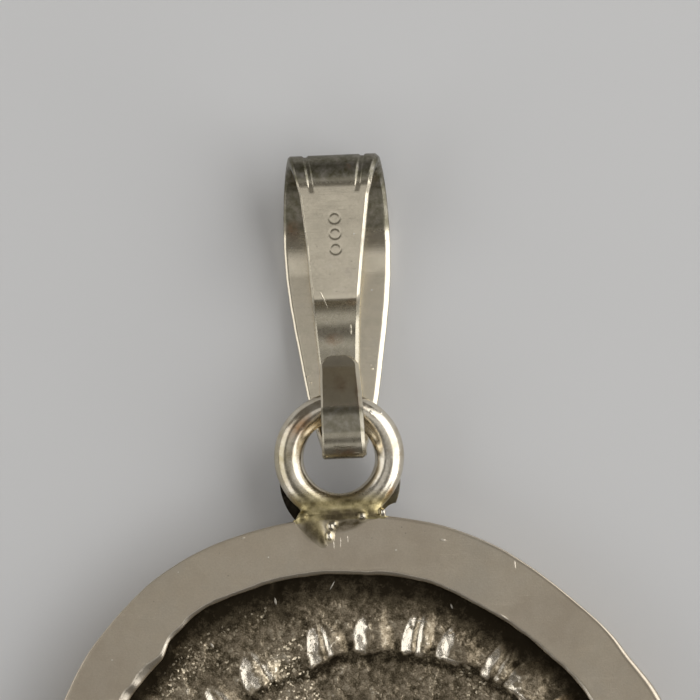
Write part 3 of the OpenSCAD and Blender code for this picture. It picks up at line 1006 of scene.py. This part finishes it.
def scratches(turns):
    """Sparse fine lines in a few directions, from 0 to 1. Each turn has its fineness."""
    lines = []
    for turn, fine in turns:
        along = add("Mapping", {
            "Vector": Look.where, "Rotation": (0, 0, math.radians(turn)), "Scale": (0.35, fine, 1)})
        line = pattern(1, 2, 0.5, along.outputs[0])
        lines.append(ramp(line, [(0, 0), (0.66, 0), (0.7, 1), (0.74, 0)]))
    return greatest(lines)


def round_cells(where, scale):
    return add("TexVoronoi", {"Vector": where, "Scale": scale, "Randomness": 1})


def specks(scale, size, seed):
    """Small round spots, 1 inside and 0 outside. size is the part of a cell that each fills."""
    cells = round_cells(vector_node("ADD", Look.where, (seed, 2 * seed, 0)), scale)
    return ramp(cells.outputs["Distance"], [(0, 1), (size * 0.7, 1), (size, 0)])


def bumps(layers, strength=1, normal=None):
    """Normal bumped by layers of (height, depth in millimetres)."""
    for height, depth in layers:
        inputs = {"Height": height, "Strength": strength, "Distance": depth * MM}
        if normal is not None:
            inputs["Normal"] = normal
        normal = add("Bump", inputs).outputs[0]
    return normal


# Half depth of a mark, in millimetres, so that height plays no part in it
ENDLESS = 1000


def mark(x, y, wide, tall, turn=0, soft=0.6):
    """1 in the middle of an ellipse at (x, y) round the disc's middle, and 0 outside it."""
    moved = add("Mapping", {
        "Vector": Look.where, "Location": (x, y + DISC_Y, 0), "Rotation": (0, 0, math.radians(turn)),
        "Scale": (wide, tall, ENDLESS)}, vector_type="TEXTURE").outputs[0]
    far = add("VectorMath", {0: moved}, operation="LENGTH").outputs["Value"]
    return ramp(far, [(1 - soft, 1), (1, 0)])


def marks(places):
    """The greatest of several marks."""
    return greatest([mark(*at) for at in places])


def patchy(places, scale, stops):
    """Marks broken up by noise."""
    uneven = ramp(pattern(scale, 4, 0.65), stops)
    return times(marks(places), uneven)


def attribute(name):
    return add("Attribute", attribute_name=name).outputs["Fac"]


def surface(**inputs):
    """Ends the material that was begun, and returns it."""
    named = {name.replace("_", " "): value for name, value in inputs.items()}
    add("OutputMaterial", {0: add("BsdfPrincipled", named).outputs[0]})
    return Look.made


def metal(colour, rough_value, normal):
    return surface(Base_Color=colour, Metallic=1, Roughness=rough_value, Normal=normal)


# Marks: across, along, half width, half length, turn in degrees, softness
COIN_MARKS = [
    (-2.69, 9.5, 0.05, 0.17, 10), (-0.47, 10.02, 0.03, 0.22, -30), (4.1, 9.02, 0.04, 0.12, 15),
    (2.9, 8.5, 0.03, 0.3, 80), (-5.2, 7.9, 0.05, 0.12, 30),
]
# Torch stain round the joint, with painted shade in the crease under the ring
JOINT_STAIN_AND_SHADE = [
    (-1.16, 12.2, 0.45, 0.66, 38, 0.6), (-0.8, 11.85, 0.18, 0.42, 22, 0.7),
    (0.2, 12.34, 0.85, 0.27, 14, 0.5), (0, 12.73, 1.1, 0.3, 2, 0.45),
    (1.25, 12.72, 0.3, 0.16, -10, 0.7),
]
# Nicks and scratches on the plate, whose paleness is partly a painted glint
PLATE_MARKS = [
    (6.12, 8.52, 0.28, 0.05, -38), (6.59, 10.55, 0.03, 0.18, 3), (3.86, 11.61, 0.14, 0.06, -15),
    (-3.82, 12, 0.09, 0.04, 20), (-0.34, 11.6, 0.02, 0.17, 2), (-0.08, 11.68, 0.018, 0.2, -3),
    (0.2, 11.8, 0.018, 0.14, 4),
]
# Painted olive shade on the ring's left and lower left
WIRE_OLIVE_SHADE = [(-2.2, 15, 0.6, 1.3, 0, 0.8), (-1.3, 13.5, 0.8, 0.5, -30, 0.8)]
# Painted warm reflections on the ring
WIRE_BROWN_REFLECTION = [(-1.45, 16.2, 0.3, 0.75, -48, 0.8), (1.9, 13.5, 0.14, 0.4, -38, 0.7)]
# A nick on the ring, whose paleness is partly a painted glint
WIRE_NICKS = [(1.72, 16.62, 0.07, 0.05, 40), (1.3, 16.62, 0.05, 0.1, 20)]
# Painted warm reflections on the bail
BAIL_BROWN_REFLECTION = [
    (0.15, 17.75, 0.3, 0.4, 0, 0.8), (0.8, 17.4, 0.14, 0.8, 3, 0.8),
    (-1.42, 23.75, 0.35, 0.5, 0, 0.8), (0.75, 20.9, 0.25, 0.2, 0, 0.8),
    (0, 19.5, 0.45, 0.3, 0, 0.8), (0.8, 26.1, 0.15, 0.15, 0, 0.8),
    (0.2, 15.15, 0.65, 0.24, 0, 0.8),
]
BAIL_MARKS = [
    (-0.33, 21.02, 0.03, 0.4, 22), (0.66, 19.86, 0.035, 0.22, 2), (1.42, 18.3, 0.05, 0.05),
    (1.36, 18.45, 0.035, 0.035), (-0.98, 17.86, 0.05, 0.04), (-1.1, 18.1, 0.04, 0.04),
    (1.62, 25.7, 0.03, 0.25, 6), (0.2, 15.38, 0.42, 0.045, -2), (0.69, 15.08, 0.22, 0.045, 0),
    (-0.55, 15.08, 0.06, 0.09),
]
# Colour of the torch stain and of the painted shade in the crease
STAIN_AND_SHADE_COLOUR = (0.15, 0.12, 0.07)


def stain_and_shade():
    """Brown torch stain round the soldered joint, with painted shade in the crease under the ring, from
    0 to 1.
    """
    return patchy(JOINT_STAIN_AND_SHADE, 2.6, [(0.3, 0.45), (0.6, 1)])


def satin_silver():
    """Warm sheet silver with a soft sheen, fine lines, a few pits, bright filed edges, a torch stain
    with painted shade near the ring, and pale nicks that partly paint glints.
    """
    begin_material("satin_silver")
    worn = attribute("worn")
    pale = marks(PLATE_MARKS)
    fine = pattern(14, 3, 0.6)
    lines = scratches(((12, 24), (74, 30), (-38, 34)))
    colour = ramp(pattern(0.28, 4, 0.6), [
        (0.32, (0.57, 0.515, 0.42)), (0.5, (0.62, 0.54, 0.42)), (0.68, (0.55, 0.47, 0.365))])
    cloud = ramp(pattern(2.5, 3, 0.6), [(0.35, 0), (0.75, 0.3)])
    patch = ramp(pattern(0.9, 5, 0.7), [(0.42, 0), (0.62, 0.35)])
    colour = layered(colour, [
        (cloud, (0.52, 0.455, 0.36)),
        (patch, (0.68, 0.61, 0.5)),
        (specks(1.3, 0.05, 3), (0.42, 0.365, 0.285)),
        (specks(1.1, 0.04, 11), (0.95, 0.92, 0.85)),
        (ramp(worn, [(0.2, 0), (0.9, 0.8)]), (0.7, 0.655, 0.57)),
        # Torch stain, and painted shade in the crease under the ring
        (stain_and_shade(), STAIN_AND_SHADE_COLOUR),
        # Pale nicks and scratches, partly painted glints
        (times(pale, 0.5), (0.93, 0.88, 0.78)),
        (ramp(fine, [(0.35, 0), (0.7, 0.4)]), (0.47, 0.4, 0.3)),
    ])
    rough_value = ramp(fine, [(0.25, 0.34), (0.75, 0.44)])
    rough_value = math_node("SUBTRACT", rough_value, times(worn, 0.14))
    return metal(colour, rough_value, bumps([(fine, 0.003), (lines, 0.0009), (pale, 0.012)]))


def polished_silver():
    """Polished strip: soft stains, specks and thin scratches, with painted dark reflections and shade
    in its folds and painted warm reflections.
    """
    begin_material("polished_silver")
    tarnish = attribute("tarnish")
    nicks = marks(BAIL_MARKS)
    fine = pattern(9, 4, 0.65)
    lines = scratches(((4, 30), (35, 30), (-55, 28)))
    colour = ramp(pattern(0.9, 4, 0.6), [
        (0.32, (0.7, 0.635, 0.5)), (0.55, (0.79, 0.715, 0.565)), (0.75, (0.74, 0.67, 0.545))])
    # Colour painted where the folds reflect darkness or lie in shade
    painted_dark_colour = ramp(pattern(3.5, 5, 0.65), [
        (0.35, (0.1, 0.094, 0.055)), (0.5, (0.18, 0.168, 0.125)), (0.68, (0.3, 0.28, 0.24))])
    # Painted warm reflections
    warm_reflection = patchy(BAIL_BROWN_REFLECTION, 3, [(0.35, 0.15), (0.6, 0.75)])
    colour = layered(colour, [
        (specks(2.4, 0.06, 5), (0.45, 0.4, 0.32)),
        (specks(1.5, 0.05, 17), (0.98, 0.96, 0.9)),
        (tarnish, painted_dark_colour),
        (warm_reflection, (0.36, 0.22, 0.13)),
    ])
    rough_value = ramp(fine, [(0.3, 0.15), (0.75, 0.25)])
    rough_value = plus(rough_value, times(tarnish, 0.2))
    return metal(colour, rough_value, bumps([(fine, 0.0006), (lines, 0.0003), (nicks, 0.02)]))


def ring_silver():
    """Polished wire with painted olive shade on its left, painted warm reflections, and olive, rougher
    solder at the joint.
    """
    begin_material("ring_silver")
    melted = ramp(attribute("solder"), [(0.2, 0), (0.65, 1)])
    nicks = marks(WIRE_NICKS)
    fine = pattern(9, 4, 0.65)
    lines = scratches(((20, 24), (-50, 30)))
    colour = ramp(pattern(1.3, 4, 0.6), [
        (0.35, (0.61, 0.535, 0.415)), (0.55, (0.79, 0.73, 0.615)), (0.75, (0.65, 0.57, 0.445))])
    joint = ramp(pattern(3.2, 4, 0.65), [
        (0.35, (0.27, 0.22, 0.105)), (0.55, (0.58, 0.49, 0.26)), (0.72, (0.73, 0.625, 0.37))])
    # Near black painted on the crescent as shade
    hole_shade_colour = ramp(pattern(4, 4, 0.6), [
        (0.35, (0.01, 0.008, 0.006)), (0.65, (0.034, 0.028, 0.02))])
    uneven = [(0.32, 0.5), (0.58, 1)]
    colour = layered(colour, [
        # Painted olive shade on the ring's left
        (patchy(WIRE_OLIVE_SHADE, 2.2, uneven), (0.46, 0.4, 0.26)),
        # Painted warm reflections
        (patchy(WIRE_BROWN_REFLECTION, 2.2, uneven), (0.58, 0.37, 0.21)),
        (melted, joint),
        (attribute("film"), (0.56, 0.485, 0.36)),
        # Torch stain, and painted shade in the crease under the ring
        (stain_and_shade(), STAIN_AND_SHADE_COLOUR),
        # Painted shade on the crescent
        (attribute("dark"), hole_shade_colour),
        # Pale nick, partly a painted glint
        (times(nicks, 0.7), (0.93, 0.9, 0.82)),
    ])
    rough_value = ramp(fine, [(0.3, 0.16), (0.75, 0.28)])
    rough_value = plus(rough_value, times(melted, 0.16))
    return metal(colour, rough_value, bumps([(fine, 0.0012), (lines, 0.0008), (nicks, 0.02)]))


def pebble_pattern():
    """Bent round cells that come and go in patches."""
    bent = add("TexNoise", {"Vector": Look.where, "Scale": 5, "Detail": 3})
    bent = vector_node("MULTIPLY_ADD", bent.outputs[1], (0.35, 0.35, 0), Look.where)
    cells = round_cells(bent, 6)
    pebbles = ramp(cells.outputs["Distance"], [(0.1, 1), (0.65, 0)])
    patches = ramp(pattern(1.4, 3, 0.6), [(0.42, 0.2), (0.6, 1)])
    return times(pebbles, patches)


def leaning_grains(normal, lean, glint, grit):
    """Normal with each grain leaning its own way, and the bright ones further."""
    lean = vector_node("SUBTRACT", lean, (0.5, 0.5, 0.5))
    lean = vector_node("MULTIPLY", lean, (0.6, 0.6, 0))
    amount = times(plus(times(glint, 0.85), 0.12), grit)
    lean = add("VectorMath", {0: lean, "Scale": amount}, operation="SCALE")
    return vector_node("NORMALIZE", vector_node("ADD", normal, lean.outputs[0]))


def coin_silver():
    """Dark patina with painted shade in the grooves, pits and margin, worn metal on raised parts, a
    painted highlight on the left flanks, and grains that catch the light.
    """
    begin_material("dark_coin_silver")
    grit = attribute("grit")
    lumps = pattern(3.2, 4, 0.6)
    pebbles = pebble_pattern()
    fines = pattern(17, 3, 0.65)
    nicks = marks(COIN_MARKS)
    grains = round_cells(Look.where, 13).outputs["Color"]
    lucky = add("SeparateColor", {0: grains}).outputs[0]
    lucky = plus(lucky, times(attribute("spark"), 0.36))
    glint = math_node("MULTIPLY", math_node("SUBTRACT", lucky, 1.1), 5, clamp=True)
    mottle = times(ramp(lumps, [(0.36, 0), (0.62, 1)]), 0.24)
    mottle = plus(mottle, times(pebbles, 0.34))
    specked = ramp(fines, [(0.33, 0), (0.67, 1)])
    mottle = plus(mottle, times(specked, 0.25))
    # Less mottle where grain strength is low paints shade near the opening
    amount = plus(attribute("wear"), times(mottle, grit))
    colour = ramp(amount, [
        (0.22, (0.03, 0.023, 0.014)), (0.45, (0.13, 0.105, 0.068)), (0.65, (0.31, 0.255, 0.178)),
        (0.85, (0.47, 0.405, 0.3)), (1, (0.97, 0.885, 0.74))])
    colour = layered(colour, [
        (times(glint, 0.7), (0.93, 0.81, 0.6)),
        (times(nicks, 0.7), (0.85, 0.8, 0.7)),
    ])
    rough_value = ramp(amount, [(0.3, 0.52), (0.75, 0.38), (0.95, 0.22)])
    normal = bumps([(lumps, 0.03), (pebbles, 0.016), (fines, 0.008)], strength=grit)
    normal = bumps([(nicks, 0.02)], normal=normal)
    return metal(colour, rough_value, leaning_grains(normal, grains, glint, grit))


def floor_material():
    begin_material("pale_floor")
    tone = ramp(pattern(0.02, 2), [(0.3, 0.7), (0.7, 0.73)])
    return surface(Base_Color=tone, Roughness=0.9)


# The pieces

def dress(made, material, slot, *nodes):
    made.data.materials.append(material)
    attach(made, "root")
    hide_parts(*nodes)


dress(make_plate(), satin_silver(), "satin_silver", "bezel_frame")
dress(make_ring(), ring_silver(), "polished_silver", "bezel_frame")
dress(make_coin(), coin_silver(), "dark_coin_silver", "coin")
dress(make_bail(), polished_silver(), "polished_silver", "bail")


# Floor, light and camera

# Half size of the floor in metres, points along its side, and how far it lies below zero
FLOOR_HALF, FLOOR_POINTS, FLOOR_GAP = 3, 5, 0.00001
# Lights: azimuth, angle from straight up, half width and half height as seen, in degrees, radiance
LIGHTS = {
    "over_light": (90, 8, 25, 11, 0.455),
    "lower_light": (-90, 43, 25, 13, 0.48),
    "right_light": (12, 57, 36, 30, 1.9),
    "left_light": (180, 62, 34, 21, 1.15),
    "edge_light": (-28, 80, 10, 8, 2),
}
# Distance of each light from the place that it points at, in metres
LIGHT_AWAY = 0.5
LIGHT_TARGET = np.array([0, 0.006, 0.002])
WORLD_COLOUR, WORLD_STRENGTH = (1, 0.95, 0.88, 1), 0.13
# The photo: its size and scale, how far it is turned, and the middle of its view
PHOTO_PX, PX_PER_MM = 700, 26
PHOTO_TURN = -2.37
LOOK_X, LOOK_Y, CAMERA_Z = 0.59, 19.06, 400


def make_floor():
    s = np.linspace(-FLOOR_HALF, FLOOR_HALF, FLOOR_POINTS)
    x, y = np.meshgrid(s, s, indexing="ij")
    faces = grid_faces(FLOOR_POINTS, FLOOR_POINTS)
    floor = new_mesh("floor", np.stack([x, y, 0 * x - FLOOR_GAP], 2), faces)
    floor.data.materials.append(floor_material())


def soft_light(name, azimuth, polar, wide, tall, radiance):
    """Flat light that shines evenly, unseen by the camera."""
    way = np.array([sind(polar) * cosd(azimuth), sind(polar) * sind(azimuth), cosd(polar)])
    light = bpy.data.lights.new(name, "AREA")
    light.shape = "RECTANGLE"
    light.size = 2 * LIGHT_AWAY * tand(wide)
    light.size_y = 2 * LIGHT_AWAY * tand(tall)
    light.energy = radiance * math.pi * light.size * light.size_y
    made = new_object(name, light)
    made.location = LIGHT_TARGET + way * LIGHT_AWAY
    across = np.array([-sind(azimuth), cosd(azimuth), 0])
    made.rotation_euler = Matrix((across, np.cross(way, across), way)).transposed().to_euler()
    made.visible_camera = False


def make_world():
    world = bpy.data.worlds.new("studio")
    bpy.context.scene.world = world
    begin(world)
    dim = add("Background", {"Color": WORLD_COLOUR, "Strength": WORLD_STRENGTH})
    add("OutputWorld", {0: dim.outputs[0]})


def make_camera():
    """Straight above, turned as the photo is, with the photo's scale at the plate's face."""
    camera = bpy.data.cameras.new("camera")
    camera.sensor_width = 36
    camera.lens = camera.sensor_width * (CAMERA_Z - PLATE_TOP) / (PHOTO_PX / PX_PER_MM)
    camera.clip_start, camera.clip_end = 0.05, 5
    made = new_object("camera", camera)
    made.location = (LOOK_X * MM, (LOOK_Y + DISC_Y) * MM, CAMERA_Z * MM)
    made.rotation_euler = (0, 0, math.radians(PHOTO_TURN))
    bpy.context.scene.camera = made


make_floor()
for light_name, facts in LIGHTS.items():
    soft_light(light_name, *facts)
make_world()
make_camera()
bpy.context.scene.view_settings.view_transform = "Standard"
